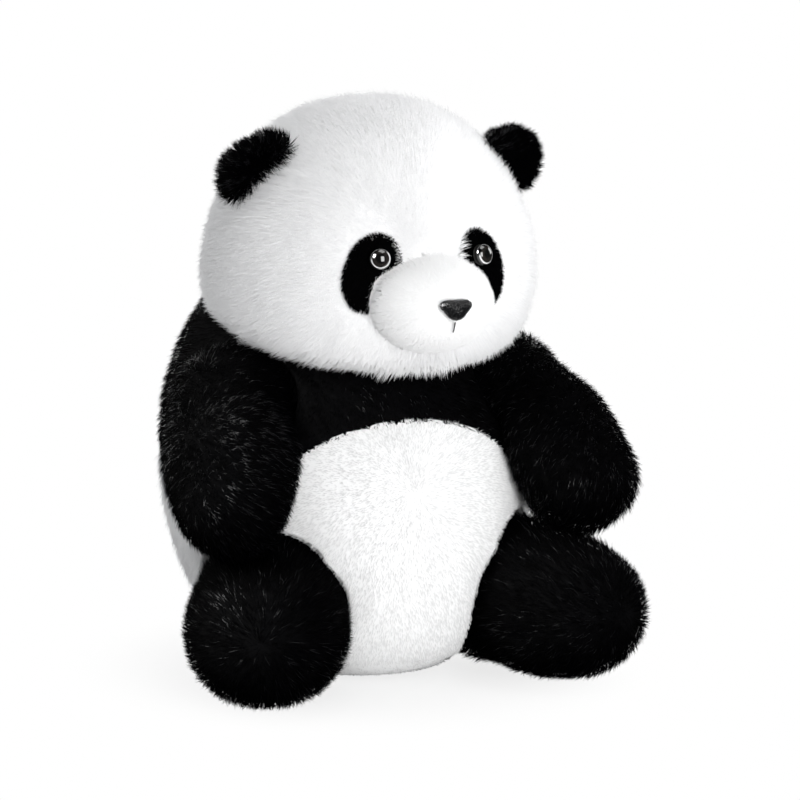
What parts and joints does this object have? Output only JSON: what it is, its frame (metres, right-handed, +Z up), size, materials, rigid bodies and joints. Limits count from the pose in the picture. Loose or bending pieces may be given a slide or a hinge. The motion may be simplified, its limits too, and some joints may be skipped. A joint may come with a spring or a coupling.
{
  "type": "plush panda",
  "caption": "Seated plush panda with a big round head, white body, black limbs, ears and shoulder band, safety eyes and a stuffed muzzle; limbs, ears and head move on their seams.",
  "frame": {"origin": "on the floor, under the middle of the toy's outline", "axes": "+Z up, the toy faces -Y, its left arm is at +X"},
  "size_m": [0.339, 0.306, 0.397],
  "materials": {
    "white_plush": "long soft white pile, about 10 mm",
    "white_short_plush": "short velvety white pile, about 2 to 3 mm",
    "black_plush": "long soft black pile with a faint sheen, about 8 mm",
    "fibre": "loose polyester fibre",
    "pellets": "woven bag of plastic pellets",
    "eye_base": "polished black",
    "eye_dome": "polished dark clear dome with a pale ring under it",
    "nose": "black with a fine leather grain, satin",
    "washer": "moulded natural",
    "thread": "twisted embroidery thread"
  },
  "bodies": {
    "body": {"back_cover": "white_plush", "seat_base": "white_plush", "tail": "white_plush", "belly_panel": "white_short_plush", "shoulder_yoke": "black_plush", "body_fill": "fibre", "pellet_bag": "pellets"},
    "head": {"face_cover": "white_plush", "head_back_cover": "white_plush", "head_fill": "fibre", "muzzle_cover": "white_short_plush", "muzzle_fill": "fibre", "eye_patch_left": "black_plush", "eye_patch_right": "black_plush", "eye_base_left": "eye_base", "eye_base_right": "eye_base", "eye_dome_left": "eye_dome", "eye_dome_right": "eye_dome", "eye_washer_left": "washer", "eye_washer_right": "washer", "nose": "nose", "nose_washer": "washer", "mouth_stitch": "thread"},
    "left ear": {"ear_front_left": "black_plush", "ear_back_left": "black_plush"},
    "right ear": {"ear_front_right": "black_plush", "ear_back_right": "black_plush"},
    "left arm": {"arm_cover_left": "black_plush", "arm_fill_left": "fibre"},
    "right arm": {"arm_cover_right": "black_plush", "arm_fill_right": "fibre"},
    "left leg": {"leg_cover_left": "black_plush", "leg_fill_left": "fibre"},
    "right leg": {"leg_cover_right": "black_plush", "leg_fill_right": "fibre"}
  },
  "joints": [
    {"name": "head turn", "type": "hinge", "parent": "body", "child": "head", "pos_m": [0, -0.00778, 0.24], "axis": [0, -0.309, 0.9511], "range_deg": [-30, 30], "stiffness_Nm_per_rad": 0.8},
    {"name": "left ear fold", "type": "hinge", "parent": "head", "child": "left ear", "pos_m": [0.08937, -0.03018, 0.35109], "axis": [-0.5637, -0.3802, 0.7332], "range_deg": [-15, 15], "stiffness_Nm_per_rad": 0.03},
    {"name": "right ear fold", "type": "hinge", "parent": "head", "child": "right ear", "pos_m": [-0.08937, -0.03018, 0.35109], "axis": [-0.5637, 0.3802, -0.7332], "range_deg": [-15, 15], "stiffness_Nm_per_rad": 0.03},
    {"name": "left arm lift", "type": "hinge", "parent": "body", "child": "left arm", "pos_m": [0.102, -0.01178, 0.19], "axis": [0, -1, 0], "range_deg": [0, 30], "stiffness_Nm_per_rad": 0.2},
    {"name": "right arm lift", "type": "hinge", "parent": "body", "child": "right arm", "pos_m": [-0.102, -0.01178, 0.19], "axis": [0, 1, 0], "range_deg": [0, 30], "stiffness_Nm_per_rad": 0.2},
    {"name": "left leg spread", "type": "hinge", "parent": "body", "child": "left leg", "pos_m": [0.085, -0.04078, 0.057], "axis": [0, 0, 1], "range_deg": [0, 15], "stiffness_Nm_per_rad": 0.4},
    {"name": "right leg spread", "type": "hinge", "parent": "body", "child": "right leg", "pos_m": [-0.085, -0.04078, 0.057], "axis": [0, 0, -1], "range_deg": [0, 15], "stiffness_Nm_per_rad": 0.4}
  ]
}
